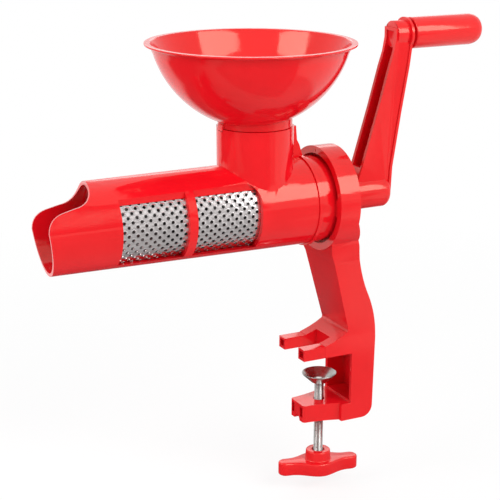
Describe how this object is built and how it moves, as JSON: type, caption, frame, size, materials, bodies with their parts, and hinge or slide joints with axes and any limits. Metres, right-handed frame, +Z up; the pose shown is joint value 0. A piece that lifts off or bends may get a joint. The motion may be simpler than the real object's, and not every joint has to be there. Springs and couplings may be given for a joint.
{
  "type": "food mill",
  "caption": "Table-clamped hand food mill: bowl hopper over a perforated steel sieve, an auger turned by a side crank, an open spout and a screw clamp.",
  "frame": {"origin": "middle of the upper jaw's underside in front of the leg, where the table top seats", "axes": "+Z is up, +X runs along the tube from the spout to the crank, Y runs across the leg"},
  "size_m": [0.39, 0.165, 0.3837],
  "materials": {
    "red_plastic": "gloss",
    "bearing_plastic": "satin",
    "stainless_steel": "satin",
    "plated_steel": "bright",
    "seal_rubber": "matt"
  },
  "bodies": {
    "stand": {"stand_frame": "red_plastic", "clamp_nut": "plated_steel", "shaft_bush": "bearing_plastic", "thrust_washer": "bearing_plastic"},
    "housing": {"housing": "red_plastic", "sieve_cylinder": "stainless_steel", "shaft_seal": "seal_rubber"},
    "hopper": {"hopper": "red_plastic"},
    "rotor": {"crank_arm": "red_plastic", "drive_shaft": "stainless_steel", "auger": "bearing_plastic", "retaining_clip": "stainless_steel", "crank_washer": "plated_steel", "crank_screw": "plated_steel", "grip_pin": "plated_steel", "grip_nut": "plated_steel", "grip_washer": "plated_steel"},
    "grip": {"grip_handle": "red_plastic"},
    "cup": {"clamp_cup": "plated_steel"},
    "screw": {"clamp_screw": "plated_steel", "cup_washer": "plated_steel", "wing_knob": "red_plastic"}
  },
  "joints": [
    {"name": "crank_turn", "type": "hinge", "parent": "stand", "child": "rotor", "pos_m": [0, 0, 0.1315], "axis": [1, 0, 0], "continuous": true},
    {"name": "grip_spin", "type": "hinge", "parent": "rotor", "child": "grip", "pos_m": [0.09, 0, 0.2599], "axis": [1, 0, 0], "continuous": true},
    {"name": "housing_twist", "type": "hinge", "parent": "stand", "child": "housing", "pos_m": [-0.009, 0, 0.1315], "axis": [1, 0, 0], "range_deg": [0, 30]},
    {"name": "hopper_lift", "type": "slide", "parent": "housing", "child": "hopper", "axis": [0, 0, 1], "range_m": [0, 0.06]},
    {"name": "clamp_travel", "type": "slide", "parent": "stand", "child": "cup", "axis": [0, 0, 1], "range_m": [-0.01375, 0.02]},
    {"name": "knob_turn", "type": "hinge", "parent": "cup", "child": "screw", "pos_m": [-0.011, 0, -0.06], "axis": [0, 0, 1], "range_deg": [-3960, 5760]}
  ],
  "couplings": [
    {"joint": "clamp_travel", "follows": "knob_turn", "m_per_rad": 0.00019894}
  ]
}
